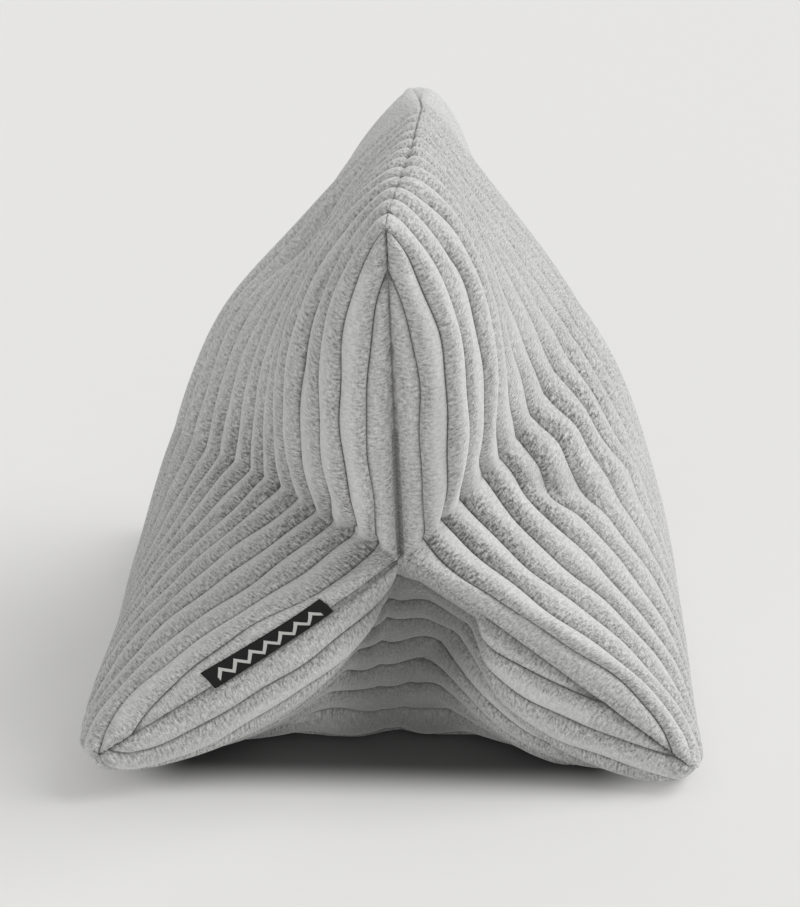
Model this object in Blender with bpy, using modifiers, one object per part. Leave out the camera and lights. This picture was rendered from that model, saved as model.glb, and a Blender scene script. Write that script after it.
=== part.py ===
"""Neck pillow: a squat three-winged cushion of jumbo rib cloth, with a small woven label.

The cover is three panels. Their long edges are sewn in pairs into three ridges, and both ends
close in a Y-shaped seam, so stuffing swells the middle into a rounded triangle and leaves three
wings at each end. The pillow lies on its lower panel, with the labelled end towards -Y.
The origin is on the floor, under the middle of the pillow's box.
"""
from collections import namedtuple

import bmesh
import bpy
import numpy as np
from mathutils import Matrix, Vector

# Driving sizes, in metres and degrees
RIB_PITCH = 0.012
HALF_RIBS = 13.5
PANEL_WIDTH = 0.300
ARM_LENGTH = 0.150
RIB_RELIEF = 0.0042
RIB_POWER = 0.6
SEAM_SINK = 0.0020
RIDGE_SHARE = 0.5
THIN_SHARE = 0.3
END_CENTRE = np.array((0.0, -0.118, 0.0975))
COVER_GREY = (0.56, 0.56, 0.545, 1.0)
LABEL_BLACK = (0.012, 0.012, 0.012, 1.0)

# The label: its ends as shares of the left arm, the strip of cloth it covers, and its thickness
LABEL_SPAN = (0.225, 0.610)
LABEL_REACH = (0.0010, 0.0100)
LABEL_THICKNESS = 0.0008
LABEL_GAP = 0.0004

# How finely the solids are divided
ROWS_PER_RIB = 4
MARGIN_RIBS = 0.5
COLUMN_SHARES = (0.0, 0.03, 0.09, 0.18, 0.32, 0.48, 0.65, 0.83, 1.0)
LINE_STEPS = 200
TURN_STEPS = 200
SEW_DISTANCE = 0.00001
LEAST_STRIP = 0.12

# Each arm of the end seam: its direction seen from the end, how far its tip leans out of the
# end's plane, where its ridge runs at the middle of the length, how far an ear of cloth stands
# out beside the tip, and how far the seam sags
Arm = namedtuple("Arm", "direction lean middle_x middle_z ear seam_sag")
ARMS = {
    "top": Arm(92.0, 11.0, 0.005, 0.264, 0.003, 0.0),
    "left": Arm(211.5, 14.0, -0.139, 0.010, 0.009, 0.0054),
    "right": Arm(325.0, 8.0, 0.127, 0.008, 0.008, 0.0),
}
EAR_PLACE = 0.024
RIDGE_BOW = 0.35
SAG_FADE = 0.22

# The valley of each panel, a row for each section between the end seam and the middle. Climb is
# the valley's angle from the pillow's length, drift its turn about the length, puff how much of
# the cloth's spare width swells out on its two sides, and fill a bulge that softens the valley.
Section = namedtuple("Section", "rib climb drift puff_first puff_second fill fill_width")
VALLEYS = {
    "left": (
        Section(0.0, 68, 5, 1.70, 1.20, 0.000, 0.16),
        Section(1.0, 62, 10, 1.70, 1.20, 0.0015, 0.16),
        Section(2.0, 56, 15, 1.70, 1.20, 0.0015, 0.16),
        Section(4.5, 44, 14, 1.75, 1.10, 0.001, 0.16),
        Section(7.5, 40, 25, 1.05, 0.80, 0.000, 0.18),
        Section(10.5, 36, 33, 0.75, 0.55, 0.001, 0.30),
        Section(13.5, 20, 34, 0.70, 0.40, 0.004, 0.45),
    ),
    "under": (
        Section(0.0, 55, -10, 1.80, 1.90, 0.000, 0.06),
        Section(2.0, 66, -10, 1.80, 1.90, 0.007, 0.12),
        Section(4.5, 80, -5, 1.30, 1.45, 0.013, 0.17),
        Section(6.5, 83, 5, 1.00, 1.10, 0.014, 0.24),
        Section(8.5, 50, 15, 0.80, 0.80, 0.012, 0.40),
        Section(13.5, 0, 0, 0.60, 0.60, 0.010, 0.50),
    ),
    "right": (
        Section(0.0, 64, 12, 1.15, 1.90, 0.000, 0.16),
        Section(1.0, 63, 10, 1.15, 1.90, 0.0028, 0.16),
        Section(2.0, 62, 9, 1.15, 1.90, 0.0028, 0.16),
        Section(4.5, 58, 12, 0.95, 1.75, 0.002, 0.18),
        Section(7.5, 50, 24, 0.85, 0.80, 0.001, 0.28),
        Section(10.5, 20, 27, 0.74, 0.33, 0.003, 0.60),
        Section(13.5, 0, 21, 0.80, 0.36, 0.006, 0.70),
    ),
}

# Each panel runs from one ridge over its valley to the next. Its two halves have their own
# roundness, smaller for a blunter ridge, and fullness, which carries the swell on towards the
# valley; front values hold beside the labelled end. Far swell is how full the other end is beside
# this one, and shelf a flat strip beside the valley. The end seam takes ribs off the corner: cut
# is how sharply, reach from what share of the arm it has taken both, and spare how much cloth it
# leaves in the middle of the arm.
Panel = namedtuple(
    "Panel",
    "first second valley_direction roundness fullness front_roundness front_fullness far_swell"
    " shelf cut reach spare",
)
PANELS = {
    "left": Panel(
        "top", "left", 151.75, (0.8, 0.55), (4.0, 2.4), (0.8, 0.55), (6.0, 2.4),
        (0.58, 1.0), (0.0, 0.0),
        (4.7, 4.3), (1.0, 1.0), (0.0, 0.42),
    ),
    "under": Panel(
        "left", "right", 268.25, (0.55, 0.55), (4.0, 4.0), (0.55, 0.55), (4.0, 4.0),
        (1.0, 1.0), (0.0, 0.26),
        (16.0, 2.07), (1.0, 0.95), (0.08, 0.0),
    ),
    "right": Panel(
        "right", "top", 28.5, (0.75, 0.45), (3.4, 1.6), (0.75, 0.85), (3.4, 6.0),
        (1.0, 0.58), (0.0, 0.0),
        (8.7, 4.7), (1.0, 1.0), (0.30, 0.0),
    ),
}
CORNER_RIBS = 2.0
LEAST_SLACK = 1.04
END_SHARE = 0.45


def facing(degrees):
    """A unit vector across the pillow's length, 0 degrees at +X and 90 at +Z."""
    angle = np.radians(degrees)
    return np.array((np.cos(angle), 0.0, np.sin(angle)))


def unit(vectors):
    """The vectors at length 1."""
    return vectors / np.maximum(np.linalg.norm(vectors, axis=-1, keepdims=True), 1e-9)


def running_sum(values):
    """The area under the values so far, over a length of 1."""
    middles = (values[1:] + values[:-1]) / 2.0
    return np.concatenate(((0.0,), np.cumsum(middles) / TURN_STEPS))


# A wing's blunt end: cloth leaves the seam sideways, and turns along the pillow as it goes
TURN = np.linspace(0.0, 1.0, TURN_STEPS + 1)
SIDEWAYS = running_sum(np.cos(np.pi / 2.0 * TURN ** 2))
AHEAD = running_sum(np.sin(np.pi / 2.0 * TURN ** 2))


def ridge_line(name):
    """Points along a ridge seam, from the arm's tip to the middle of the length."""
    arm = ARMS[name]
    lean = np.radians(arm.lean)
    outward = facing(arm.direction) * np.cos(lean)
    tip = END_CENTRE + ARM_LENGTH * (outward - np.array((0.0, np.sin(lean), 0.0)))
    middle = np.array((arm.middle_x, 0.0, arm.middle_z))
    share = np.linspace(0.0, 1.0, LINE_STEPS + 1)
    bowed = share * (1.0 + RIDGE_BOW * (1.0 - share))
    weights = np.stack((bowed, share, bowed), axis=1)
    place = share * ARM_LENGTH / EAR_PLACE
    ear = arm.ear * place * np.exp(1.0 - place)
    return tip + (middle - tip) * weights + ear[:, None] * facing(arm.direction)


def valley_line(name):
    """Points along a panel's valley, walked over the cloth from the end's centre."""
    panel = PANELS[name]
    rows = VALLEYS[name]
    ribs = [row.rib for row in rows]
    step = HALF_RIBS * RIB_PITCH / LINE_STEPS
    places = (np.arange(LINE_STEPS) + 0.5) / LINE_STEPS * HALF_RIBS
    climb = np.radians(np.interp(places, ribs, [row.climb for row in rows]))[:, None]
    drift = np.radians(np.interp(places, ribs, [row.drift for row in rows]))[:, None]
    outward = facing(panel.valley_direction)
    sideways = facing(panel.valley_direction + 90.0)
    ahead = np.array((0.0, 1.0, 0.0))
    strides = np.sin(climb) * (np.cos(drift) * outward + np.sin(drift) * sideways)
    strides = (strides + np.cos(climb) * ahead) * step
    line = END_CENTRE + np.vstack((np.zeros(3), np.cumsum(strides, axis=0)))
    # The cloth gives a little, so that the valley reaches the middle of the length
    stretch = -END_CENTRE[1] / (line[-1, 1] - END_CENTRE[1])
    line[:, 1] = END_CENTRE[1] + (line[:, 1] - END_CENTRE[1]) * stretch
    return line


RIDGES = {name: ridge_line(name) for name in ARMS}
VALLEY_LINES = {name: valley_line(name) for name in PANELS}


def read_line(line, share):
    """A line's points at shares of its length, and its slopes there."""
    places = np.linspace(0.0, 1.0, LINE_STEPS + 1)
    slopes = np.gradient(line, places, axis=0)
    points = [np.interp(share, places, line[:, axis]) for axis in range(3)]
    slants = [np.interp(share, places, slopes[:, axis]) for axis in range(3)]
    return np.stack(points, axis=-1), np.stack(slants, axis=-1)


def read_column(name, column, share):
    """A column of a valley's table at shares of the half length."""
    rows = VALLEYS[name]
    values = [getattr(row, column) for row in rows]
    return np.interp(share * HALF_RIBS, [row.rib for row in rows], values)


def seam_cut(name, across):
    """How many ribs the end seam has taken off, from none at the valley to two at the tip."""
    panel = PANELS[name]
    side = (across > 0.5).astype(int)
    arm_share = np.abs(2.0 * across - 1.0)
    slant = np.minimum(1.0, arm_share / np.take(panel.reach, side)) ** np.take(panel.cut, side)
    return CORNER_RIBS * slant - np.take(panel.spare, side) * np.sin(np.pi * arm_share)


def half_share(name, across, rib):
    """How far a point lies from the end seam, 0, to the middle of the length, 1."""
    from_end = np.minimum(rib, 2.0 * HALF_RIBS - rib)
    cut = seam_cut(name, across)
    # A strip of cloth too narrow for a face of its own goes into the seam
    from_end = np.where(from_end - cut < LEAST_STRIP, cut, from_end)
    return np.clip((from_end - cut) / (HALF_RIBS - cut), 0.0, 1.0)


def chords(name, share):
    """The three lines of a panel, and the straight distances from the valley to both ridges."""
    panel = PANELS[name]
    first = read_line(RIDGES[panel.first], share)
    valley = read_line(VALLEY_LINES[name], share)
    second = read_line(RIDGES[panel.second], share)
    first_chord = np.linalg.norm(first[0] - valley[0], axis=-1)
    second_chord = np.linalg.norm(second[0] - valley[0], axis=-1)
    return first, valley, second, first_chord, second_chord


def full_swell(name, across, share, in_front):
    """How far the cloth stands out between its lines, away from the end seam."""
    panel = PANELS[name]
    side = (across > 0.5).astype(int)
    first_chord, second_chord = chords(name, share)[3:]
    cloth = np.maximum(PANEL_WIDTH, LEAST_SLACK * (first_chord + second_chord))
    chord = np.where(side == 0, first_chord, second_chord)
    width = cloth * chord / (first_chord + second_chord)
    from_ridge = 2.0 * np.minimum(across, 1.0 - across)
    puff_first = read_column(name, "puff_first", share)
    puff_second = read_column(name, "puff_second", share)
    # A strip of cloth wider than its chord stands out in a shallow arch
    swell = np.sqrt(np.maximum(0.0, 0.375 * chord * (width - chord)))
    swell = swell * np.where(side == 0, puff_first, puff_second)
    near_end = np.exp(-((share / END_SHARE) ** 2))
    far_swell = 1.0 - (1.0 - np.take(panel.far_swell, side)) * near_end
    swell = swell * np.where(in_front, 1.0, far_swell)
    front = np.where(in_front, near_end, 0.0)
    roundness = np.take(panel.roundness, side)
    roundness = roundness + (np.take(panel.front_roundness, side) - roundness) * front
    fullness = np.take(panel.fullness, side)
    fullness = fullness + (np.take(panel.front_fullness, side) - fullness) * front
    swell = swell * (1.0 - (1.0 - from_ridge) ** 3) ** roundness
    shelf = np.take(panel.shelf, side) * near_end
    from_ridge = np.minimum(from_ridge / (1.0 - shelf), 1.0)
    return np.maximum(swell * (1.0 - from_ridge ** fullness), 1e-6)


def panel_points(name, across, rib):
    """The crown surface of a panel, from ridge to ridge across it and rib by rib along it.

    Across 0 and 1 are the ridges and 0.5 is the valley; ribs count from the labelled end.
    """
    panel = PANELS[name]
    share = half_share(name, across, rib)
    distance = share * ARM_LENGTH
    turn_length = full_swell(name, across, share, rib <= HALF_RIBS) / SIDEWAYS[-1]
    turned = np.minimum(distance / turn_length, 1.0)
    swell = turn_length * np.interp(turned, TURN, SIDEWAYS)
    ahead = turn_length * np.interp(turned, TURN, AHEAD) + np.maximum(0.0, distance - turn_length)
    share = share - (distance - ahead) / ARM_LENGTH * (1.0 - share)

    first, valley, second, first_chord, second_chord = chords(name, share)
    place = np.where(across <= 0.5, across * 2.0, across * 2.0 - 1.0)
    weight = place[..., None]
    side = (across <= 0.5)[..., None]
    start = np.where(side, first[0], valley[0])
    end = np.where(side, valley[0], second[0])
    start_slope = np.where(side, first[1], valley[1])
    end_slope = np.where(side, valley[1], second[1])
    outward = unit(np.cross(start_slope * (1.0 - weight) + end_slope * weight, end - start))
    points = start * (1.0 - weight) + end * weight + outward * swell[..., None]

    arm_share = np.abs(2.0 * across - 1.0)
    sag = np.where(across <= 0.5, ARMS[panel.first].seam_sag, ARMS[panel.second].seam_sag)
    sag = sag * 3.2 * arm_share * (1.0 - arm_share) ** 1.4
    points[..., 2] -= sag * np.exp(-((share / SAG_FADE) ** 2))

    split = first_chord / (first_chord + second_chord)
    cloth_place = np.where(across <= 0.5, place * split, split + place * (1.0 - split))
    reach = (cloth_place - split) / (read_column(name, "fill_width", share) / 2.0)
    fill = read_column(name, "fill", share) * np.cos(np.pi / 2.0 * np.clip(reach, -1.0, 1.0)) ** 2
    points += unit(np.cross(valley[1], second[0] - first[0])) * fill[..., None]
    points[..., 1] *= np.where(rib > HALF_RIBS, -1.0, 1.0)
    return points


def column_places():
    """Shares across a panel, closer together beside the ridges, mirrored at the valley."""
    first = [share / 2.0 for share in COLUMN_SHARES]
    return np.array(first + [1.0 - place for place in reversed(first[:-1])])


def wing_thickness(name, across, rib):
    """How thick the wing is under a panel's points, to the same places on the panel behind it."""
    thickness = np.zeros(across.shape)
    for behind, panel in PANELS.items():
        if behind == name:
            continue
        apart = panel_points(name, across, rib) - panel_points(behind, 1.0 - across, rib)
        arm = np.where(across < 0.5, PANELS[name].first, PANELS[name].second)
        shared = (arm == panel.first) | (arm == panel.second)
        thickness = np.where(shared, np.linalg.norm(apart, axis=-1), thickness)
    return thickness


def sink_depth(name, across, rib):
    """How far the surface lies below the ribs' crowns: grooves and seams."""
    from_end = np.minimum(rib, 2.0 * HALF_RIBS - rib)
    cut = seam_cut(name, across)
    # Rib places are counted so that a groove lies on each whole number up to the middle rib
    place = np.where(from_end < 0.0, 0.0, from_end)
    place = np.where(from_end > HALF_RIBS - 0.5, from_end - (HALF_RIBS - 0.5), place)
    groove = RIB_RELIEF * (1.0 - np.abs(np.sin(np.pi * place)) ** RIB_POWER)
    # The first rib fills whatever the seam has left of it
    first_rib = (from_end < 1.0) & (from_end > cut)
    first_place = (from_end - cut) / np.maximum(1.0 - cut, 0.01)
    first_groove = RIB_RELIEF * (1.0 - np.abs(np.sin(np.pi * first_place)) ** RIB_POWER)
    groove = np.where(first_rib, first_groove, groove)
    sink = np.minimum(groove, THIN_SHARE * wing_thickness(name, across, rib))
    on_ridge = (across == 0.0) | (across == 1.0)
    sink = np.where(on_ridge, SEAM_SINK + RIDGE_SHARE * groove, sink)
    return np.where(half_share(name, across, rib) == 0.0, SEAM_SINK, sink)


def material(name, colour, roughness):
    """A plain cloth material."""
    made = bpy.data.materials.new(name)
    made.use_nodes = True
    shader = made.node_tree.nodes["Principled BSDF"]
    shader.inputs["Base Color"].default_value = colour
    shader.inputs["Roughness"].default_value = roughness
    shader.inputs["Metallic"].default_value = 0.0
    return made


def add_object(name, mesh_data, finish, collection):
    """Put a bmesh into the scene as a named object."""
    mesh = bpy.data.meshes.new(name)
    mesh_data.to_mesh(mesh)
    mesh_data.free()
    mesh.materials.append(finish)
    made = bpy.data.objects.new(name, mesh)
    collection.objects.link(made)
    return made


def flat_grid(mesh_data, columns, rows):
    """A flat pattern piece, one unit square, whose points are still to be placed."""
    made = bmesh.ops.create_grid(mesh_data, x_segments=columns, y_segments=rows, size=0.5)
    for vertex in made["verts"]:
        vertex.co += Vector((0.5, 0.5, 0.0))
    return made["verts"]


def build_cushion(collection):
    """Sew three ribbed panels into the one filled solid."""
    mesh_data = bmesh.new()
    sink = mesh_data.verts.layers.float.new("sink")
    columns = column_places()
    rows = int(2 * HALF_RIBS * ROWS_PER_RIB) + 2
    ribs = np.concatenate((
        (-MARGIN_RIBS,),
        np.arange(rows - 1) / ROWS_PER_RIB,
        (2.0 * HALF_RIBS + MARGIN_RIBS,),
    ))
    for name in PANELS:
        vertices = flat_grid(mesh_data, len(columns) - 1, rows)
        across = columns[[round(vertex.co.x * (len(columns) - 1)) for vertex in vertices]]
        rib = ribs[[round(vertex.co.y * rows) for vertex in vertices]]
        points = panel_points(name, across, rib)
        depths = sink_depth(name, across, rib)
        for vertex, point, depth in zip(vertices, points, depths):
            vertex.co = point
            vertex[sink] = depth
    bmesh.ops.reverse_faces(mesh_data, faces=mesh_data.faces)
    bmesh.ops.remove_doubles(mesh_data, verts=mesh_data.verts, dist=SEW_DISTANCE)
    mesh_data.normal_update()
    inward = {vertex: -vertex.normal * vertex[sink] for vertex in mesh_data.verts}
    for vertex, move in inward.items():
        vertex.co += move
        # The floor presses the belly flat
        vertex.co.z = max(vertex.co.z, 0.0)
    bmesh.ops.triangulate(mesh_data, faces=mesh_data.faces)
    return add_object("cushion", mesh_data, material("rib_cloth", COVER_GREY, 0.95), collection)


def build_label(collection):
    """Lay the woven label over the first rib, along the left arm of the near end seam."""
    mesh_data = bmesh.new()
    nudge = 0.002
    vertices = flat_grid(mesh_data, 14, 4)
    flat = np.array([vertex.co[:] for vertex in vertices])
    arm_share = LABEL_SPAN[0] + (LABEL_SPAN[1] - LABEL_SPAN[0]) * flat[:, 0]
    reach = LABEL_REACH[0] + (LABEL_REACH[1] - LABEL_REACH[0]) * flat[:, 1]
    across = 0.5 + arm_share / 2.0
    cut = seam_cut("left", across)
    rib = cut + LEAST_STRIP + reach / ARM_LENGTH * (HALF_RIBS - cut)
    here = panel_points("left", across, rib)
    aside = panel_points("left", across + nudge, rib)
    ahead = panel_points("left", across, rib + nudge)
    outward = unit(np.cross(ahead - here, aside - here))
    for vertex, point in zip(vertices, here + outward * LABEL_GAP):
        vertex.co = point
    bmesh.ops.reverse_faces(mesh_data, faces=mesh_data.faces)
    label = add_object("label", mesh_data, material("label_weave", LABEL_BLACK, 0.7), collection)
    wall = label.modifiers.new("thickness", "SOLIDIFY")
    wall.thickness = LABEL_THICKNESS
    wall.offset = 1.0
    return label


def centre_over_origin(cushion, label):
    """Slide both pieces sideways, so that the middle of the cushion's box is at X = 0."""
    places = [vertex.co.x for vertex in cushion.data.vertices]
    middle = (min(places) + max(places)) / 2.0
    for piece in (cushion, label):
        piece.data.transform(Matrix.Translation((-middle, 0.0, 0.0)))


def main():
    """Clear the scene and build the pillow."""
    for old in list(bpy.data.objects):
        bpy.data.objects.remove(old, do_unlink=True)
    collection = bpy.data.collections.new("neck_pillow")
    bpy.context.scene.collection.children.link(collection)
    cushion = build_cushion(collection)
    label = build_label(collection)
    centre_over_origin(cushion, label)


main()
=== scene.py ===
# %% [markdown]
# # A neck pillow in plush rib cloth
# The pillow is a soft three-winged body. Its cover is cut from jumbo rib cloth in three panels.
# Their long edges are sewn in pairs into three ridges, and both short ends close in a Y-shaped
# seam. Stuffing swells the middle, and at each end the cloth pinches into three fat wings.
#
# The solid model of the pillow is loaded first. It is the fixed frame that everything here is
# made to fit. What we add must not change the pillow's size.

# %% Load the frame
from collections import namedtuple

import bpy
import numpy as np
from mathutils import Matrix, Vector
from mathutils.bvhtree import BVHTree


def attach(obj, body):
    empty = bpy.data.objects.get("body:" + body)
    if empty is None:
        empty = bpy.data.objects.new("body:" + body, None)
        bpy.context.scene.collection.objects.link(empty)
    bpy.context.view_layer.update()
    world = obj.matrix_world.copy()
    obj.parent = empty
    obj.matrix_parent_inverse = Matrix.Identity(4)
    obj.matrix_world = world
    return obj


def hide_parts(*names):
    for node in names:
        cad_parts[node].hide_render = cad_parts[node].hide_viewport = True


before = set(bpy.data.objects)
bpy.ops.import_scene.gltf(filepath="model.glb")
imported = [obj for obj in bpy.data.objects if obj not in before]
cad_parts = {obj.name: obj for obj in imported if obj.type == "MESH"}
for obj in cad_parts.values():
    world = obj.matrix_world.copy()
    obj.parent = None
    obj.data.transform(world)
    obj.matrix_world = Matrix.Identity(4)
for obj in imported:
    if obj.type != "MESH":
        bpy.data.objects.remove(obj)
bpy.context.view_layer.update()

# %% [markdown]
# ## The camera
# A photographer shot the pillow from its labelled end, a little above it and a touch to the
# right, through a long lens from just under a metre. The camera is placed by the point it looks
# at, its distance, and two angles, so each can be tried on its own. A long lens keeps the near
# wings from looking larger than they are.

# %% Place the camera
LENS_MM = 79.4
LOOK_AT = np.array((-0.00375, -0.015, 0.106))
CAMERA_DISTANCE = 0.917
CAMERA_TURN = np.radians(1.9)
CAMERA_RISE = np.radians(20.0)
# The solid was centred over the origin after its sections were set, by this much along X
SLIDE = 0.0054

backwards = np.array((
    np.sin(CAMERA_TURN) * np.cos(CAMERA_RISE),
    -np.cos(CAMERA_TURN) * np.cos(CAMERA_RISE),
    np.sin(CAMERA_RISE),
))
bpy.ops.object.camera_add(location=LOOK_AT + backwards * CAMERA_DISTANCE + (SLIDE, 0.0, 0.0))
camera = bpy.context.object
camera.rotation_euler = (np.pi / 2.0 - CAMERA_RISE, 0.0, CAMERA_TURN)
camera.data.lens = LENS_MM
camera.data.clip_start = 0.01
bpy.context.scene.camera = camera
print("camera at", [round(value, 3) for value in camera.location])

# %% [markdown]
# ## How the cover lies
# A photograph shows ribs, and a rib is a straight line in the cloth, so the ribs tell how each
# panel bends. I could push a ball of clay about until it looked right, but a cover sewn from
# flat panels has a better handle: every rib starts on one ridge, dips into a valley, and ends on
# the next ridge. So I describe the three ridges and the three valleys as lines, and let each
# panel hang between them.
#
# A ridge runs from the tip of an arm of the Y seam to the middle of the pillow's length.

# %% The ridges
RIB_PITCH = 0.012
HALF_RIBS = 13.5
PANEL_WIDTH = 0.300
ARM_LENGTH = 0.150
LINE_STEPS = 200
END_CENTRE = np.array((0.0, -0.118, 0.0975))
RIDGE_BOW = 0.35
EAR_PLACE = 0.024

Arm = namedtuple("Arm", "direction lean middle_x middle_z ear seam_sag")
ARMS = {
    "top": Arm(92.0, 11.0, 0.005, 0.264, 0.003, 0.0),
    "left": Arm(211.5, 14.0, -0.139, 0.010, 0.009, 0.0054),
    "right": Arm(325.0, 8.0, 0.127, 0.008, 0.008, 0.0),
}


def facing(degrees):
    """A unit vector across the pillow's length, 0 degrees at +X and 90 at +Z."""
    angle = np.radians(degrees)
    return np.array((np.cos(angle), 0.0, np.sin(angle)))


def ridge_line(name):
    """Points along a ridge seam, from the arm's tip to the middle of the length."""
    arm = ARMS[name]
    lean = np.radians(arm.lean)
    outward = facing(arm.direction) * np.cos(lean)
    tip = END_CENTRE + ARM_LENGTH * (outward - np.array((0.0, np.sin(lean), 0.0)))
    middle = np.array((arm.middle_x, 0.0, arm.middle_z))
    share = np.linspace(0.0, 1.0, LINE_STEPS + 1)
    bowed = share * (1.0 + RIDGE_BOW * (1.0 - share))
    weights = np.stack((bowed, share, bowed), axis=1)
    place = share * ARM_LENGTH / EAR_PLACE
    ear = arm.ear * place * np.exp(1.0 - place)
    return tip + (middle - tip) * weights + ear[:, None] * facing(arm.direction)


RIDGES = {name: ridge_line(name) for name in ARMS}
for name, line in RIDGES.items():
    length = np.linalg.norm(np.diff(line, axis=0), axis=1).sum()
    print(name, "ridge, half length in mm:", round(length * 1000))

# %% [markdown]
# A valley starts at the centre of the Y and is walked over the cloth, rib by rib. Each row of the
# table is a place along it: how steeply it climbs away from the pillow's length, how far it
# drifts round it, how much the cloth puffs on its two sides, and a bulge that fills the fold.
# The left valley drifts low and the right one high, which is why the pillow looks lived in.

# %% The valleys
Section = namedtuple("Section", "rib climb drift puff_first puff_second fill fill_width")
VALLEYS = {
    "left": (
        Section(0.0, 68, 5, 1.70, 1.20, 0.000, 0.16),
        Section(1.0, 62, 10, 1.70, 1.20, 0.0015, 0.16),
        Section(2.0, 56, 15, 1.70, 1.20, 0.0015, 0.16),
        Section(4.5, 44, 14, 1.75, 1.10, 0.001, 0.16),
        Section(7.5, 40, 25, 1.05, 0.80, 0.000, 0.18),
        Section(10.5, 36, 33, 0.75, 0.55, 0.001, 0.30),
        Section(13.5, 20, 34, 0.70, 0.40, 0.004, 0.45),
    ),
    "under": (
        Section(0.0, 55, -10, 1.80, 1.90, 0.000, 0.06),
        Section(2.0, 66, -10, 1.80, 1.90, 0.007, 0.12),
        Section(4.5, 80, -5, 1.30, 1.45, 0.013, 0.17),
        Section(6.5, 83, 5, 1.00, 1.10, 0.014, 0.24),
        Section(8.5, 50, 15, 0.80, 0.80, 0.012, 0.40),
        Section(13.5, 0, 0, 0.60, 0.60, 0.010, 0.50),
    ),
    "right": (
        Section(0.0, 64, 12, 1.15, 1.90, 0.000, 0.16),
        Section(1.0, 63, 10, 1.15, 1.90, 0.0028, 0.16),
        Section(2.0, 62, 9, 1.15, 1.90, 0.0028, 0.16),
        Section(4.5, 58, 12, 0.95, 1.75, 0.002, 0.18),
        Section(7.5, 50, 24, 0.85, 0.80, 0.001, 0.28),
        Section(10.5, 20, 27, 0.74, 0.33, 0.003, 0.60),
        Section(13.5, 0, 21, 0.80, 0.36, 0.006, 0.70),
    ),
}

# Each panel goes from one ridge over its valley to the next, and its two halves have their own
# values. Roundness is smaller for a blunter ridge, and fullness carries the swell to the valley;
# the front values hold beside the labelled end. Far swell is how full the other end is beside
# this one, and shelf a flat strip beside the valley. The end seam's cut takes ribs off the corner:
# how sharply, from what share of the arm, and how much cloth it leaves in the middle of the arm.
Panel = namedtuple(
    "Panel",
    "first second valley_direction roundness fullness front_roundness front_fullness far_swell"
    " shelf cut reach spare",
)
PANELS = {
    "left": Panel(
        "top", "left", 151.75, (0.8, 0.55), (4.0, 2.4), (0.8, 0.55), (6.0, 2.4),
        (0.58, 1.0), (0.0, 0.0),
        (4.7, 4.3), (1.0, 1.0), (0.0, 0.42),
    ),
    "under": Panel(
        "left", "right", 268.25, (0.55, 0.55), (4.0, 4.0), (0.55, 0.55), (4.0, 4.0),
        (1.0, 1.0), (0.0, 0.26),
        (16.0, 2.07), (1.0, 0.95), (0.08, 0.0),
    ),
    "right": Panel(
        "right", "top", 28.5, (0.75, 0.45), (3.4, 1.6), (0.75, 0.85), (3.4, 6.0),
        (1.0, 0.58), (0.0, 0.0),
        (8.7, 4.7), (1.0, 1.0), (0.30, 0.0),
    ),
}


def valley_line(name):
    """Points along a panel's valley, from the centre of the Y to the middle of the length."""
    panel = PANELS[name]
    rows = VALLEYS[name]
    ribs = [row.rib for row in rows]
    step = HALF_RIBS * RIB_PITCH / LINE_STEPS
    places = (np.arange(LINE_STEPS) + 0.5) / LINE_STEPS * HALF_RIBS
    climb = np.radians(np.interp(places, ribs, [row.climb for row in rows]))[:, None]
    drift = np.radians(np.interp(places, ribs, [row.drift for row in rows]))[:, None]
    outward = facing(panel.valley_direction)
    sideways = facing(panel.valley_direction + 90.0)
    ahead = np.array((0.0, 1.0, 0.0))
    strides = np.sin(climb) * (np.cos(drift) * outward + np.sin(drift) * sideways)
    strides = (strides + np.cos(climb) * ahead) * step
    line = END_CENTRE + np.vstack((np.zeros(3), np.cumsum(strides, axis=0)))
    # The cloth gives a little, so that the valley reaches the middle of the length
    stretch = -END_CENTRE[1] / (line[-1, 1] - END_CENTRE[1])
    line[:, 1] = END_CENTRE[1] + (line[:, 1] - END_CENTRE[1]) * stretch
    print(name, "valley, stretch:", round(stretch, 3))
    return line


VALLEY_LINES = {name: valley_line(name) for name in PANELS}

# %% [markdown]
# Now any point of a panel can be found from two numbers: how far across it lies, from ridge to
# ridge, and which rib it is on. Between its lines the cloth is wider than the gap that it spans,
# so it stands out in an arch. A maker doesn't cut quite along a rib, so the end seam crosses the
# first ribs at a slant, and they run out into it before they reach the tip.

# %% Where the end seam crosses the ribs
CORNER_RIBS = 2.0


def seam_cut(name, across):
    """How many ribs the end seam has taken off, from none at the valley to two at the tip."""
    panel = PANELS[name]
    side = (across > 0.5).astype(int)
    arm_share = np.abs(2.0 * across - 1.0)
    slant = np.minimum(1.0, arm_share / np.take(panel.reach, side)) ** np.take(panel.cut, side)
    return CORNER_RIBS * slant - np.take(panel.spare, side) * np.sin(np.pi * arm_share)


def half_share(name, across, rib):
    """How far a point lies from the end seam, 0, to the middle of the length, 1."""
    from_end = np.minimum(rib, 2.0 * HALF_RIBS - rib)
    cut = seam_cut(name, across)
    return np.clip((from_end - cut) / (HALF_RIBS - cut), 0.0, 1.0)


# %% [markdown]
# The end of a wing is blunt. Cloth leaves the seam sideways, keeps going for two or three ribs,
# and then turns along the pillow. It can't stretch, so while it goes sideways it can't go ahead:
# the two curves below are the sine and cosine of one turn, summed over its length.

# %% The blunt end
TURN_STEPS = 200
turn = np.linspace(0.0, 1.0, TURN_STEPS + 1)


def running_sum(values):
    """The area under the values so far, over a length of 1."""
    middles = (values[1:] + values[:-1]) / 2.0
    return np.concatenate(((0.0,), np.cumsum(middles) / TURN_STEPS))


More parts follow.
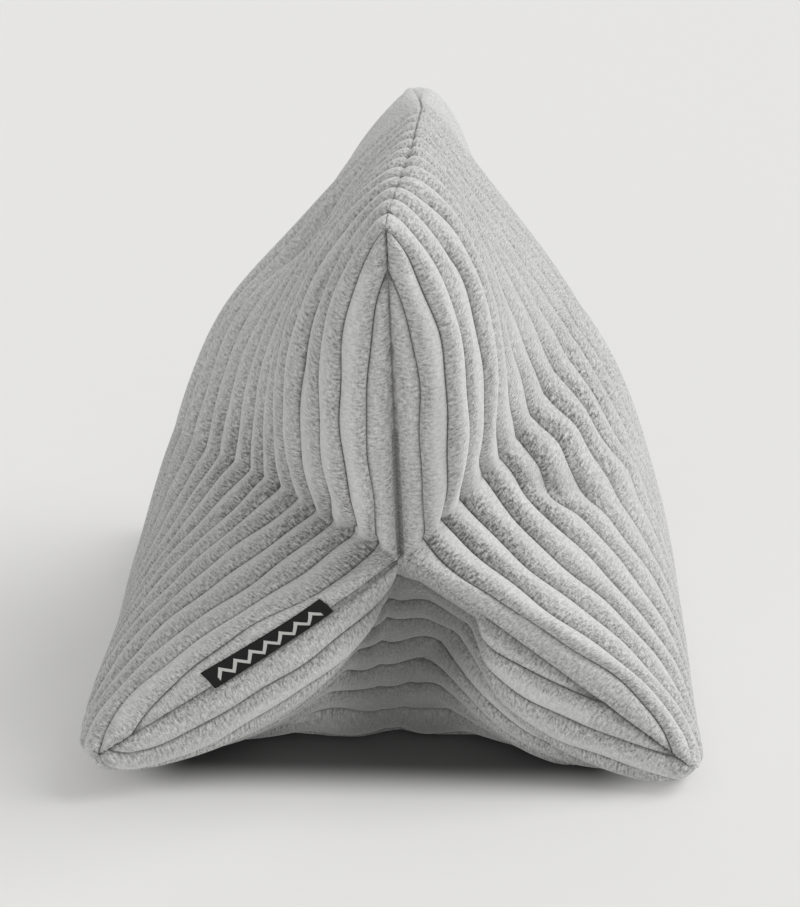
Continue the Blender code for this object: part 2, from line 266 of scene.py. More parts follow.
SIDEWAYS = running_sum(np.cos(np.pi / 2.0 * turn ** 2))
AHEAD = running_sum(np.sin(np.pi / 2.0 * turn ** 2))
print("a wing's end uses", round(1.0 / SIDEWAYS[-1], 2), "of cloth for 1 of width")

# %% [markdown]
# With the lines, the swell and the turn in hand, a point is found in four moves: go along to its
# section, out from the chord by the swell, down by the sag of the seam, and out again where the
# valley is filled. The far end uses the same moves, mirrored.

# %% A point of a panel
LEAST_SLACK = 1.04
SAG_FADE = 0.22
SAG_SCALE = 3.2
SAG_POWER = 1.4
END_SHARE = 0.45
ARCH_SHARE = 0.375


def unit(vectors):
    """The vectors at length 1."""
    return vectors / np.maximum(np.linalg.norm(vectors, axis=-1, keepdims=True), 1e-9)


def read_line(line, share):
    """A line's points at shares of its length, and its slopes there."""
    places = np.linspace(0.0, 1.0, LINE_STEPS + 1)
    slopes = np.gradient(line, places, axis=0)
    points = [np.interp(share, places, line[:, axis]) for axis in range(3)]
    slants = [np.interp(share, places, slopes[:, axis]) for axis in range(3)]
    return np.stack(points, axis=-1), np.stack(slants, axis=-1)


def read_column(name, column, share):
    """A column of a valley's table at shares of the half length."""
    rows = VALLEYS[name]
    values = [getattr(row, column) for row in rows]
    return np.interp(share * HALF_RIBS, [row.rib for row in rows], values)


def chords(name, share):
    """The three lines of a panel, and the straight distances from the valley to both ridges."""
    panel = PANELS[name]
    first, valley, second = [
        read_line(line, share)
        for line in (RIDGES[panel.first], VALLEY_LINES[name], RIDGES[panel.second])
    ]
    first_chord = np.linalg.norm(first[0] - valley[0], axis=-1)
    second_chord = np.linalg.norm(second[0] - valley[0], axis=-1)
    return first, valley, second, first_chord, second_chord


def full_swell(name, across, share, in_front):
    """How far the cloth stands out between its lines, away from the end seam."""
    panel = PANELS[name]
    side = (across > 0.5).astype(int)
    first_chord, second_chord = chords(name, share)[3:]
    cloth = np.maximum(PANEL_WIDTH, LEAST_SLACK * (first_chord + second_chord))
    chord = np.where(side == 0, first_chord, second_chord)
    width = cloth * chord / (first_chord + second_chord)
    from_ridge = 2.0 * np.minimum(across, 1.0 - across)
    # A strip of cloth wider than its chord stands out in a shallow arch
    swell = np.sqrt(np.maximum(0.0, ARCH_SHARE * chord * (width - chord)))
    swell = swell * np.where(
        side == 0, read_column(name, "puff_first", share), read_column(name, "puff_second", share)
    )
    # The labelled end has been plumped up, and the far end is a little slimmer
    near_end = np.exp(-((share / END_SHARE) ** 2))
    far_swell = 1.0 - (1.0 - np.take(panel.far_swell, side)) * near_end
    swell = swell * np.where(in_front, 1.0, far_swell)
    front = np.where(in_front, near_end, 0.0)
    roundness = np.take(panel.roundness, side)
    roundness = roundness + (np.take(panel.front_roundness, side) - roundness) * front
    fullness = np.take(panel.fullness, side)
    fullness = fullness + (np.take(panel.front_fullness, side) - fullness) * front
    swell = swell * (1.0 - (1.0 - from_ridge) ** 3) ** roundness
    shelf = np.take(panel.shelf, side) * near_end
    from_ridge = np.minimum(from_ridge / (1.0 - shelf), 1.0)
    return np.maximum(swell * (1.0 - from_ridge ** fullness), 1e-6)


def panel_points(name, across, rib):
    """The crown surface of a panel: across runs 0 to 1 between ridges, rib counts from one end."""
    panel = PANELS[name]
    share = half_share(name, across, rib)
    distance = share * ARM_LENGTH
    turn_length = full_swell(name, across, share, rib <= HALF_RIBS) / SIDEWAYS[-1]
    turned = np.minimum(distance / turn_length, 1.0)
    swell = turn_length * np.interp(turned, turn, SIDEWAYS)
    ahead = turn_length * np.interp(turned, turn, AHEAD) + np.maximum(0.0, distance - turn_length)
    share = share - (distance - ahead) / ARM_LENGTH * (1.0 - share)

    first, valley, second, first_chord, second_chord = chords(name, share)
    place = np.where(across <= 0.5, across * 2.0, across * 2.0 - 1.0)
    weight = place[..., None]
    side = (across <= 0.5)[..., None]
    start = np.where(side, first[0], valley[0])
    end = np.where(side, valley[0], second[0])
    start_slope = np.where(side, first[1], valley[1])
    end_slope = np.where(side, valley[1], second[1])
    outward = unit(np.cross(start_slope * (1.0 - weight) + end_slope * weight, end - start))
    points = start * (1.0 - weight) + end * weight + outward * swell[..., None]

    arm_share = np.abs(2.0 * across - 1.0)
    sag = np.where(across <= 0.5, ARMS[panel.first].seam_sag, ARMS[panel.second].seam_sag)
    sag = sag * SAG_SCALE * arm_share * (1.0 - arm_share) ** SAG_POWER
    points[..., 2] -= sag * np.exp(-((share / SAG_FADE) ** 2))

    split = first_chord / (first_chord + second_chord)
    cloth_place = np.where(across <= 0.5, place * split, split + place * (1.0 - split))
    reach = (cloth_place - split) / (read_column(name, "fill_width", share) / 2.0)
    fill = read_column(name, "fill", share) * np.cos(np.pi / 2.0 * np.clip(reach, -1.0, 1.0)) ** 2
    points += unit(np.cross(valley[1], second[0] - first[0])) * fill[..., None]
    points[..., 1] *= np.where(rib > HALF_RIBS, -1.0, 1.0)
    return points


# %% [markdown]
# ## Ribs
# Each rib is a row of loops sheared into a soft round top, and between two ribs the ground of the
# cloth shows as a narrow groove, which the material paints dark: painted shade. A texture of ribs
# would look flat from the side, and the outline of the pillow needs the ribs too, so they are
# modelled. The crown surface above is touched by the tops, and the grooves sink from it. The depth
# follows a sine raised to a small power, which makes broad tops and sharp grooves. A rib that the
# seam has cut is narrower, and comes to a point where it runs out. Where the filling pulls the
# cloth tight, its ribs are flatter, and a short table says where.

# %% How deep the surface lies
RIB_RELIEF = 0.0042
RIB_POWER = 0.38
WHOLE_WIDTH = 0.55
SEAM_SINK = 0.0034
SEAM_ROUND = 0.0036
RIDGE_SINK = 0.0024
RIDGE_ROUND = 0.0060


def rounding(distance, radius):
    """A quarter circle: 0 at the seam, 1 from one radius away."""
    near = np.clip(1.0 - distance / radius, 0.0, 1.0)
    return np.sqrt(1.0 - near ** 2)


def rib_place(name, across, rib):
    """Where a point lies on its rib, from 0 on the seam's side to 1, and how much rib is left."""
    from_end = np.minimum(rib, 2.0 * HALF_RIBS - rib)
    cut = seam_cut(name, across)
    number = np.maximum(np.floor(from_end), 0.0)
    lower = np.where(from_end < 1.0, cut, np.maximum(number, cut))
    width = np.clip(number + 1.0 - lower, 0.0, None)
    place = np.clip((from_end - lower) / np.maximum(width, 1e-6), 0.0, 1.0)
    # The middle rib lies across the middle of the length
    place = np.where(from_end >= HALF_RIBS - 0.5, from_end - (HALF_RIBS - 0.5), place)
    return place, width, lower == cut


# Where the filling pulls the cloth tight, its ribs are flatter: the middle of each such place,
# its reach across the panel and along it in ribs, and the share of the relief that is lost
Tight = namedtuple("Tight", "panel across rib wide long share")
TIGHT_PLACES = (
    Tight("right", 0.66, 10.5, 0.24, 5.0, 0.68),
    Tight("right", 0.25, 10.5, 0.16, 5.5, 0.60),
    Tight("left", 0.27, 10.5, 0.20, 4.5, 0.52),
)


def relief_left(name, across, rib):
    """The share of the ribs' relief that is left at a point."""
    left = np.ones(across.shape)
    for place in TIGHT_PLACES:
        if place.panel == name:
            sideways = (across - place.across) / place.wide
            along = (rib - place.rib) / place.long
            left = left - place.share * np.exp(-(sideways ** 2 + along ** 2))
    return left


def sink_depth(name, across, rib):
    """How far the surface lies below the crowns: grooves and seams."""
    place, width, beside_seam = rib_place(name, across, rib)
    crown = np.abs(np.sin(np.pi * place)) ** RIB_POWER
    # A rib has no groove where it lies against the end seam, only a rounded edge
    crown = np.where(beside_seam & (place < 0.5), 1.0, crown) * np.minimum(1.0, width / WHOLE_WIDTH)
    to_ridge = np.minimum(across, 1.0 - across) * PANEL_WIDTH
    groove = RIB_RELIEF * (1.0 - crown) * relief_left(name, across, rib)
    return groove + RIDGE_SINK * (1.0 - rounding(to_ridge, RIDGE_ROUND))


# %% [markdown]
# Two more numbers on the cloth are worked out here beside the grooves and read later by the
# material: painted light and shade across each rib, which also sets where the pile's rough ends
# show, and painted shade in the hollow under the belly.

# %% Painted light and shade on the cloth
NAP_LIGHT_START = 0.2
NAP_LIGHT_WIDTH = 0.5
NAP_LIGHT_EDGE = 0.03
NAP_LIGHT_FADE = 0.3
EVEN_NAP_LIGHT = 0.45
BEND_SHADE_PLACE = {"left": 0.5, "right": 0.46}
BEND_SHADE_WIDTH = 0.08
BEND_SHADE_DEPTH = 0.8
UNDER_SHADE_PLACE = 0.53
UNDER_SHADE_WIDTH = 0.12
UNDER_SHADE_START = 0.08


def nap_and_light_share(name, across, rib):
    """Painted light and shade on a rib: darker with rough pile on the seam's side, paler beyond."""
    place, width, beside_seam = rib_place(name, across, rib)
    climb = np.clip((place - NAP_LIGHT_START) / NAP_LIGHT_WIDTH, 0.0, 1.0)
    lean = climb * climb * (3.0 - 2.0 * climb) * np.clip((1.0 - place) / NAP_LIGHT_EDGE, 0.0, 1.0)
    # Towards the middle of the length the painted light and the pile even out
    near_end = np.clip((1.0 - half_share(name, across, rib)) / NAP_LIGHT_FADE, 0.0, 1.0)
    lean = EVEN_NAP_LIGHT + (lean - EVEN_NAP_LIGHT) * near_end * relief_left(name, across, rib)
    # In the bend of a valley the seam's side of a rib is painted darker: painted shade in the
    # crease
    if name != "under":
        bend_shade = np.exp(-(((across - BEND_SHADE_PLACE[name]) / BEND_SHADE_WIDTH) ** 2))
        lean = lean - BEND_SHADE_DEPTH * bend_shade * near_end * (1.0 - lean)
    return lean * np.where(beside_seam, EVEN_NAP_LIGHT, 1.0)


def under_shade_share(name, across, rib):
    """Painted shade in the hollow under the belly, where little light gets in: how dark it is
    painted.
    """
    if name != "under":
        return np.zeros(across.shape)
    beside = np.exp(-(((across - UNDER_SHADE_PLACE) / UNDER_SHADE_WIDTH) ** 4))
    return beside * np.clip(half_share(name, across, rib) / UNDER_SHADE_START, 0.0, 1.0)


def seam_depth(name, across, rib):
    """How far the surface is drawn in along the end seam."""
    from_end = np.minimum(rib, 2.0 * HALF_RIBS - rib)
    to_seam = np.maximum(from_end - seam_cut(name, across), 0.0) * RIB_PITCH
    return SEAM_SINK * (1.0 - rounding(to_seam, SEAM_ROUND))


# %% [markdown]
# No sewn rib is quite straight. A slow wave moves each rib a little along the cloth, and fades
# out at the seams, where the panels have to meet.

# %% A little waviness
WAVE_HEIGHT = 0.045
WAVE_FADE = 0.08
EDGE_FADE = 0.05


def wavy(name, across, rib):
    """The rib places, each moved by a small share of a rib."""
    number = list(PANELS).index(name)
    share = half_share(name, across, rib)
    from_ridge = np.minimum(across, 1.0 - across)
    fade = np.clip(share / WAVE_FADE, 0.0, 1.0) * np.clip(from_ridge / EDGE_FADE, 0.0, 1.0)
    fade = fade * np.clip((1.0 - share) / EDGE_FADE, 0.0, 1.0)
    wave = np.sin(17.0 * across + 1.9 * rib + 2.0 * number)
    wave = wave + np.sin(31.0 * across - 1.1 * rib + 5.0 * number)
    wave = wave + 0.7 * np.sin(53.0 * across + 2.7 * rib + number)
    return rib + WAVE_HEIGHT * fade * wave


# %% [markdown]
# The rows of the panel's grid are crowded beside each groove and its columns beside the ridges
# and the valley, where the cloth bends most, so the same number of faces goes further.

# %% Lay out one panel
GROOVE_ROWS = (0.0, 0.025, 0.07, 0.14, 0.24, 0.36, 0.5, 0.64, 0.76, 0.86, 0.93, 0.975)
MARGIN_RIBS = 0.5
COLUMNS = 150
CROWDING = 0.6
RIB_COUNT = int(2 * HALF_RIBS)
row_places = np.concatenate((
    (-MARGIN_RIBS, -0.32, -0.16),
    np.add.outer(np.arange(RIB_COUNT), GROOVE_ROWS).ravel(),
    (RIB_COUNT, RIB_COUNT + 0.16, RIB_COUNT + 0.32, RIB_COUNT + MARGIN_RIBS),
))
even = np.linspace(0.0, 1.0, COLUMNS + 1)
column_places = even - CROWDING * np.sin(4.0 * np.pi * even) / (4.0 * np.pi)


def deselect():
    """Nothing selected, so that the next operator acts on the new piece alone."""
    bpy.ops.object.select_all(action="DESELECT")


def read_points(mesh):
    """A mesh's points as rows of three numbers."""
    points = np.empty(len(mesh.vertices) * 3)
    mesh.vertices.foreach_get("co", points)
    return points.reshape(-1, 3)


def write_points(mesh, points):
    """Put a mesh's points in their places."""
    mesh.vertices.foreach_set("co", np.ascontiguousarray(points, dtype=np.float32).ravel())
    mesh.update()


def add_number(mesh, name, values):
    """One number for each point, which a material can read by its name."""
    mesh.attributes.new(name, "FLOAT", "POINT").data.foreach_set("value", values.astype(np.float32))


def lay_panel(name, number):
    """A flat grid, one unit square, laid over the pillow as one panel of the cover."""
    deselect()
    rows = len(row_places) - 1
    steps = np.linspace(0.0, 1.0, rows + 1)
    bpy.ops.mesh.primitive_grid_add(x_subdivisions=COLUMNS, y_subdivisions=rows, size=1.0)
    panel = bpy.context.object
    panel.name = "panel_" + name
    flat = read_points(panel.data) + 0.5
    across = np.interp(flat[:, 0], even, column_places)
    rib = np.interp(flat[:, 1], steps, row_places)
    add_number(panel.data, "sink", sink_depth(name, across, rib))
    add_number(panel.data, "seam", seam_depth(name, across, rib))
    add_number(panel.data, "nap_and_light", nap_and_light_share(name, across, rib))
    add_number(panel.data, "under_shade", under_shade_share(name, across, rib))
    add_number(panel.data, "across", across)
    add_number(panel.data, "rib", rib)
    add_number(panel.data, "panel", np.full(len(rib), number))
    points = panel_points(name, across, wavy(name, across, rib))
    write_points(panel.data, points + (SLIDE, 0.0, 0.0))
    cloth = panel.data.uv_layers[0]
    cloth.name = "cloth"
    places = np.empty(len(cloth.data) * 2)
    cloth.data.foreach_get("uv", places)
    places = places.reshape(-1, 2)
    places[:, 0] = np.interp(places[:, 0], even, column_places) * PANEL_WIDTH + number
    places[:, 1] = np.interp(places[:, 1], steps, row_places) * RIB_PITCH
    cloth.data.foreach_set("uv", places.ravel())
    return panel


panels = [lay_panel(name, number) for number, name in enumerate(PANELS)]
print("panels:", [len(panel.data.polygons) for panel in panels], "faces each")

# %% [markdown]
# The three panels are joined into one object and their edges are sewn by merging the points that
# lie together. The end seam has many points in one place, where the ribs run out into it, and
# the merge cleans these up as well.

# %% Sew the panels
deselect()
for panel in panels:
    panel.select_set(True)
bpy.context.view_layer.objects.active = panels[0]
bpy.ops.object.join()
cover = bpy.context.object
cover.name = "cover"
cover.data.name = "cover"
bpy.ops.object.mode_set(mode="EDIT")
bpy.ops.mesh.select_all(action="SELECT")
bpy.ops.mesh.remove_doubles(threshold=0.00001)
bpy.ops.mesh.normals_make_consistent(inside=False)
bpy.ops.object.mode_set(mode="OBJECT")
bpy.ops.object.shade_smooth()


def read_number(mesh, name):
    """The numbers stored under a name, one for each point."""
    values = np.empty(len(mesh.vertices))
    mesh.attributes[name].data.foreach_get("value", values)
    return values


def read_normals(mesh):
    """The directions that the points face."""
    normals = np.empty(len(mesh.vertices) * 3)
    mesh.vertices.foreach_get("normal", normals)
    return normals.reshape(-1, 3)


open_edges = len(cover.data.edges) * 2 - sum(len(face.vertices) for face in cover.data.polygons)
print("sewn cover:", len(cover.data.vertices), "points; edges that don't close:", open_edges)

# %% [markdown]
# ## Folds of its own
# A used pillow has folds that no pattern gives. Each is a long soft mound or dent, laid on the
# cloth at a place and an angle. Heights and sizes are in millimetres, and a dent is below zero.

# %% Mounds and dents
Fold = namedtuple("Fold", "panel across rib turn long wide height")
FOLDS = (
    # The left shoulder draws in beside the top wing and swells below it
    Fold("left", 0.19, 11.5, 20.0, 26.0, 11.0, -6.0),
    Fold("left", 0.34, 12.5, 0.0, 30.0, 36.0, 7.0),
    # On the right wing the ribs swing round a soft mound and kink in the crease beside it
    Fold("right", 0.455, 7.2, 100.0, 20.0, 9.0, 5.0),
    Fold("right", 0.405, 6.3, 135.0, 22.0, 6.5, -7.0),
    Fold("right", 0.350, 8.6, 120.0, 22.0, 9.0, 3.0),
    # The belly's hem is drawn in under the centre of the seam
    Fold("under", 0.54, 1.6, 0.0, 14.0, 7.0, -3.0),
)


def fold_heights(mesh):
    """What all the folds add at each point, along the way it faces."""
    across = read_number(mesh, "across")
    rib = read_number(mesh, "rib")
    panel = read_number(mesh, "panel")
    total = np.zeros(len(across))
    for fold in FOLDS:
        sideways = (across - fold.across) * PANEL_WIDTH * 1000.0
        along = (rib - fold.rib) * RIB_PITCH * 1000.0
        angle = np.radians(fold.turn)
        length = sideways * np.cos(angle) + along * np.sin(angle)
        width = along * np.cos(angle) - sideways * np.sin(angle)
        mound = np.exp(-((length / fold.long) ** 2) - (width / fold.wide) ** 2)
        here = panel == list(PANELS).index(fold.panel)
        total += np.where(here, mound * fold.height / 1000.0, 0.0)
    return total


RIDGE_FADE = 12.0
crown = read_points(cover.data)
place_across = read_number(cover.data, "across")
seam_fade = np.clip(place_across * (1.0 - place_across) * RIDGE_FADE, 0.0, 1.0)
crown = crown + read_normals(cover.data) * (fold_heights(cover.data) * seam_fade)[:, None]
write_points(cover.data, crown)
print("folds:", len(FOLDS))

# %% [markdown]
# Where a wing is thin, the grooves of its two sides would cut through each other. A ray is sent
# inwards from each point to find how thick the pillow is there, and no groove may take more than
# a share of that.

# %% Sink the grooves
THIN_SHARE = 0.28
LONGEST_RAY = 0.1
RAY_START = 0.0002
outward = read_normals(cover.data)
inside = BVHTree.FromPolygons(
    crown.tolist(), [tuple(face.vertices) for face in cover.data.polygons]
)
thickness = np.full(len(crown), LONGEST_RAY)
for number, (point, direction) in enumerate(zip(crown, outward)):
    hit = inside.ray_cast(point - direction * RAY_START, -direction, LONGEST_RAY)
    if hit[0] is not None:
        thickness[number] = hit[3]
sink = np.minimum(read_number(cover.data, "sink"), THIN_SHARE * thickness)
sink = np.maximum(sink, read_number(cover.data, "seam"))
surface = crown - outward * sink[:, None]
surface[:, 2] = np.maximum(surface[:, 2], 0.0)
write_points(cover.data, surface)
add_number(cover.data, "rib_height", 1.0 - np.clip(sink / RIB_RELIEF, 0.0, 1.0))
print("deepest groove, mm:", round(sink.max() * 1000, 1))

# %% [markdown]
# ## Materials
# Shader maths reads best as sums, so one small class wraps a socket and lets Python's own signs
# add the Math nodes. Colours and vectors go through their own kinds of node, because a Math node
# turns a colour grey.

# %% Sockets as numbers
class Value:
    """A node's output that can be added, multiplied and compared with Python's signs."""

    def __init__(self, tree, socket):
        self.tree = tree
        self.socket = socket

    def maths(self, operation, *others, swap=False):
        values = (self,) + others
        if swap:
            values = (others[0], self)
        return self.tree.node("ShaderNodeMath", {"operation": operation}, *values)

    def __add__(self, other):
        return self.maths("ADD", other)

    def __radd__(self, other):
        return self.maths("ADD", other)

    def __mul__(self, other):
        return self.maths("MULTIPLY", other)

    def __rmul__(self, other):
        return self.maths("MULTIPLY", other)

    def __sub__(self, other):
        return self.maths("SUBTRACT", other)

    def __rsub__(self, other):
        return self.maths("SUBTRACT", other, swap=True)

    def __gt__(self, other):
        return self.maths("GREATER_THAN", other)


class Finish:
    """A material and its node tree, with one method that adds any node."""

    def __init__(self, name, **constants):
        self.material = bpy.data.materials.new(name)
        self.material.use_nodes = True
        self.nodes = self.material.node_tree.nodes
        self.shader = self.nodes["Principled BSDF"]
        for socket, value in constants.items():
            self.shader.inputs[socket.replace("_", " ").title()].default_value = value

    def link(self, value, socket):
        if isinstance(value, Value):
            self.material.node_tree.links.new(value.socket, socket)
        else:
            socket.default_value = value

    def node(self, kind, settings=None, *values, output=0, **named):
        made = self.nodes.new(kind)
        for setting, value in (settings or {}).items():
            setattr(made, setting, value)
        for socket, value in zip(made.inputs, values):
            if value is not None:
                self.link(value, socket)
        for name, value in named.items():
            self.link(value, made.inputs[name.replace("_", " ").title()])
        return Value(self, made.outputs[output])

    def mix(self, share, first, second):
        made = self.nodes.new("ShaderNodeMix")
        made.data_type = "RGBA"
        self.link(share, made.inputs[0])
        self.link(first, made.inputs[6])
        self.link(second, made.inputs[7])
        return Value(self, made.outputs[2])

    def feed(self, socket, value):
        self.link(value, self.shader.inputs[socket])


# %% [markdown]
# Plush rib cloth is matt. Light catches the ends of its loops and sinks between them, and that is
# painted into the colour: pale tops, grooves painted much darker as painted shade, and a fine
# mottle over both. The loops stand in short strokes across each rib, like the teeth of a comb. The
# noise for them is stretched along the width of the rib by reading the cloth's own measure, which
# each panel carries in metres. The seam's side of each rib, where the pile's rough ends show, is
# painted darker
# and its far side paler: painted light and shade, as from a light above and behind. Three numbers
# carry that: how high a point lies on its rib, the painted flank light with the nap, and painted
# shade under the belly.

# %% The plush finish
GREY_TOP = (0.82, 0.82, 0.805, 1.0)
GREY_SHADED = (0.16, 0.16, 0.155, 1.0)

plush = Finish("rib_cloth", roughness=0.95, sheen_weight=0.5, sheen_roughness=0.5)
plush.shader.inputs["Sheen Tint"].default_value = (1.0, 1.0, 1.0, 1.0)
plush.shader.inputs["Specular IOR Level"].default_value = 0.15
cloth = plush.node("ShaderNodeUVMap", {"uv_map": "cloth"})
height = plush.node("ShaderNodeAttribute", {"attribute_name": "rib_height"}, output=2)
nap_and_light = plush.node("ShaderNodeAttribute", {"attribute_name": "nap_and_light"}, output=2)
under_shade = plush.node("ShaderNodeAttribute", {"attribute_name": "under_shade"}, output=2)
combed = plush.node("ShaderNodeVectorMath", {"operation": "MULTIPLY"}, cloth, (1.0, 0.45, 1.0))
strokes = plush.node("ShaderNodeTexNoise", None, combed, scale=900.0, detail=1.0)
loops = plush.node("ShaderNodeTexNoise", None, cloth, scale=1200.0, detail=1.0)
patches = plush.node("ShaderNodeTexNoise", None, cloth, scale=60.0, detail=3.0)
mottle = strokes * 0.55 + loops * 0.35 + patches * 0.1
# The grooves are painted darker by their depth: painted shade
shade = plush.node(
    "ShaderNodeMapRange", {"interpolation_type": "SMOOTHSTEP"}, height, 0.0, 0.6, 0.0, 1.0
)
tone = plush.node("ShaderNodeMapRange", None, mottle, 0.3, 0.7, -0.42, 0.42)
rough_side = 1.0 - nap_and_light * 0.6
# The seam's side of each rib is painted darker and its far side paler: painted light and shade
lit = shade * (nap_and_light * 0.2 + 0.45) + tone * rough_side * (shade * 0.7 + 0.3)
# Painted shade in the hollow under the belly
lit = lit * (1.0 - under_shade * 0.82)
plush.feed("Base Color", plush.mix(lit, GREY_SHADED, GREY_TOP))
pile = plush.node(
    "ShaderNodeBump", None, strength=1.0, distance=0.0020,
    height=(strokes * 0.6 + loops * 0.4) * rough_side,
)
plush.feed("Normal", pile)
cover.data.materials.clear()
cover.data.materials.append(plush.material)
print("plush finish:", len(plush.nodes), "nodes")

# %% [markdown]
# ## The label
# A narrow black label is sewn into the end seam, over the first rib of the left wing. It is a
# grid laid over the cloth in the same way as a panel, given its thickness by a modifier.

# %% Lay the label
LABEL_SPAN = (0.225, 0.610)
LABEL_REACH = (0.0004, 0.0094)
LABEL_GAP = 0.0004
LABEL_THICKNESS = 0.0008
LABEL_COLUMNS = 60
LABEL_ROWS = 12

deselect()
bpy.ops.mesh.primitive_grid_add(x_subdivisions=LABEL_COLUMNS, y_subdivisions=LABEL_ROWS, size=1.0)
label = bpy.context.object
label.name = "side_label"
label.data.name = "side_label"
label.data.uv_layers[0].name = "label"
flat = read_points(label.data) + 0.5
arm_share = LABEL_SPAN[0] + (LABEL_SPAN[1] - LABEL_SPAN[0]) * flat[:, 0]
reach = LABEL_REACH[0] + (LABEL_REACH[1] - LABEL_REACH[0]) * flat[:, 1]
label_across = 0.5 + arm_share / 2.0
cut = seam_cut("left", label_across)
label_rib = cut + reach / ARM_LENGTH * (HALF_RIBS - cut)
NUDGE = 0.001
here = panel_points("left", label_across, label_rib)
aside = panel_points("left", label_across + NUDGE, label_rib)
ahead = panel_points("left", label_across, label_rib + NUDGE)
label_outward = unit(np.cross(ahead - here, aside - here))
write_points(label.data, here + label_outward * LABEL_GAP + (SLIDE, 0.0, 0.0))
bpy.ops.object.mode_set(mode="EDIT")
bpy.ops.mesh.select_all(action="SELECT")
bpy.ops.mesh.flip_normals()
bpy.ops.object.mode_set(mode="OBJECT")
wall = label.modifiers.new("thickness", "SOLIDIFY")
wall.thickness = LABEL_THICKNESS
wall.offset = 1.0
bpy.ops.object.modifier_apply(modifier=wall.name)
bpy.ops.object.shade_smooth()
print("label:", len(label.data.polygons), "faces")

# %% [markdown]
# The label is woven in black satin, which has a soft shine and fine cross threads. A plain pale
# zigzag runs along it, where a maker would weave in a name.

# %% The label's finish
ZIGZAG_TEETH = 8.0
ZIGZAG_WIDTH = 0.12
weave = Finish("label_weave", base_color=(0.008, 0.008, 0.008, 1.0), roughness=0.6)
weave.shader.inputs["Specular IOR Level"].default_value = 0.2
threads = weave.node("ShaderNodeTexCoord", None, output=3)
grain = weave.node("ShaderNodeTexNoise", None, threads, scale=2500.0, detail=1.0)
black = weave.mix(grain, (0.004, 0.004, 0.004, 1.0), (0.014, 0.014, 0.014, 1.0))
on_label = weave.node("ShaderNodeUVMap", {"uv_map": "label"})
along = weave.node("ShaderNodeSeparateXYZ", None, on_label)
up = Value(weave, along.socket.node.outputs[1])
tooth = weave.node("ShaderNodeMath", {"operation": "FRACT"}, along * ZIGZAG_TEETH)
tooth = weave.node("ShaderNodeMath", {"operation": "ABSOLUTE"}, tooth - 0.5)
off_line = weave.node("ShaderNodeMath", {"operation": "ABSOLUTE"}, up - (tooth * 0.9 + 0.28))
on_line = 1.0 - (off_line > ZIGZAG_WIDTH)
on_line = on_line * (along > 0.07) * (1.0 - (along > 0.93))
weave.feed("Base Color", weave.mix(on_line, black, (0.50, 0.50, 0.49, 1.0)))
thread_bump = weave.node("ShaderNodeBump", None, strength=0.4, distance=0.0003, height=grain)
weave.feed("Normal", thread_bump)
label.data.materials.clear()
label.data.materials.append(weave.material)

# %% [markdown]
# ## The studio
# The pillow stands on a pale floor that fills the picture. The paper glows a little, which is
# painted
# light: it keeps its shadows pale and lights the cloth from below. Lights alone then leave the
# contact under the belly too bright, so the glow fades out and the paper is painted dark towards
# the place
# where it stands: a painted contact shadow.

# %% The floor
FLOOR_SIZE = 24.0
FLOOR_Z = -0.0004
# The box and fade of the painted contact shadow under the belly
BELLY_REACH = (0.085, 0.112, 1.0)
BELLY_SHADE = 0.034
deselect()
bpy.ops.mesh.primitive_grid_add(
    x_subdivisions=40, y_subdivisions=40, size=FLOOR_SIZE, location=(0.0, 0.0, FLOOR_Z)
)
floor = bpy.context.object
floor.name = "studio_floor"
bpy.ops.object.transform_apply(location=True, rotation=True, scale=True)
paper = Finish("studio_paper", base_color=(0.60, 0.596, 0.588, 1.0), roughness=0.9)
grain = paper.node("ShaderNodeTexNoise", None, scale=900.0, detail=2.0)
place = paper.node("ShaderNodeTexCoord", None, output=3)
beside = paper.node("ShaderNodeVectorMath", {"operation": "ABSOLUTE"}, place)
beside = paper.node("ShaderNodeVectorMath", {"operation": "SUBTRACT"}, beside, BELLY_REACH)
beside = paper.node("ShaderNodeVectorMath", {"operation": "MAXIMUM"}, beside, (0.0, 0.0, 0.0))
distance = paper.node("ShaderNodeVectorMath", {"operation": "LENGTH"}, beside, output=1)
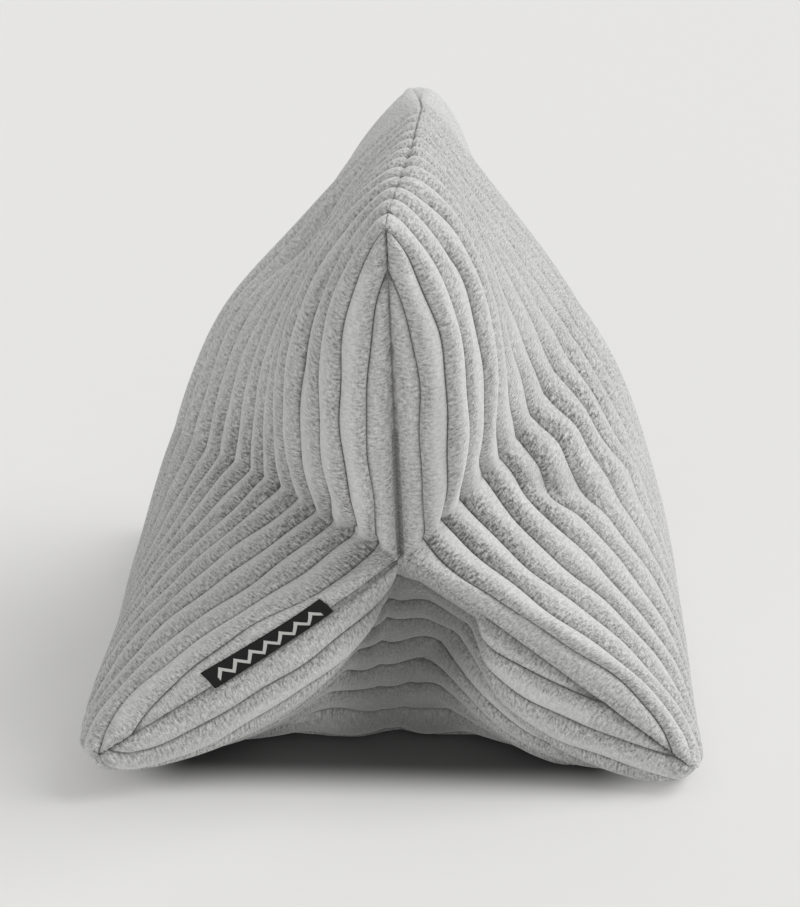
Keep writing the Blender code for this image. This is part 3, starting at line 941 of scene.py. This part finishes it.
# A painted contact shadow: near the belly the paper is painted dark and stops glowing
outside_painted_shadow = paper.node("ShaderNodeMapRange", None, distance, 0.0, BELLY_SHADE, 0.0, 1.0)
outside_painted_shadow = outside_painted_shadow * outside_painted_shadow * (3.0 - outside_painted_shadow * 2.0)
pale = paper.mix(grain, (0.595, 0.591, 0.583, 1.0), (0.605, 0.601, 0.593, 1.0))
paper.feed("Base Color", paper.mix(outside_painted_shadow, (0.10, 0.10, 0.10, 1.0), pale))
# The glow is painted light on the paper
glow = paper.mix(outside_painted_shadow, (0.0, 0.0, 0.0, 1.0), (0.80, 0.795, 0.785, 1.0))
paper.feed("Emission Color", glow)
paper.shader.inputs["Emission Strength"].default_value = 0.22
floor.data.materials.clear()
floor.data.materials.append(paper.material)
print("floor:", FLOOR_SIZE, "m wide")

# %% [markdown]
# One broad soft light comes from above and to the right, so the left panel falls into a gentle
# shade. A weaker one from the front opens up the wings, and the world gives the rest.

# %% Lights and world
Light = namedtuple("Light", "place aim size power")
LIGHTS = {
    "key_light": Light((1.2, 0.1, 1.3), (0.0, 0.0, 0.1), 40.0, 1.95),
    "front_light": Light((0.1, -1.2, 0.25), (0.0, 0.0, 0.1), 60.0, 0.75),
}
for name, light in LIGHTS.items():
    turned = (Vector(light.aim) - Vector(light.place)).to_track_quat("-Z", "Y").to_euler()
    bpy.ops.object.light_add(type="SUN", location=light.place, rotation=turned)
    lamp = bpy.context.object
    lamp.name = name
    lamp.data.angle = np.radians(light.size)
    lamp.data.energy = light.power

world = bpy.data.worlds.new("studio_world")
world.use_nodes = True
world.node_tree.nodes["Background"].inputs["Color"].default_value = (0.80, 0.80, 0.79, 1.0)
world.node_tree.nodes["Background"].inputs["Strength"].default_value = 0.66
bpy.context.scene.world = world
bpy.context.scene.view_settings.view_transform = "Standard"
print("lights:", ", ".join(LIGHTS))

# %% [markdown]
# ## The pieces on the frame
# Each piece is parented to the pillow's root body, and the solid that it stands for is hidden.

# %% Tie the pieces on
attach(cover, "root")
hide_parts("cushion")
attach(label, "root")
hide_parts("label")

bpy.context.view_layer.update()
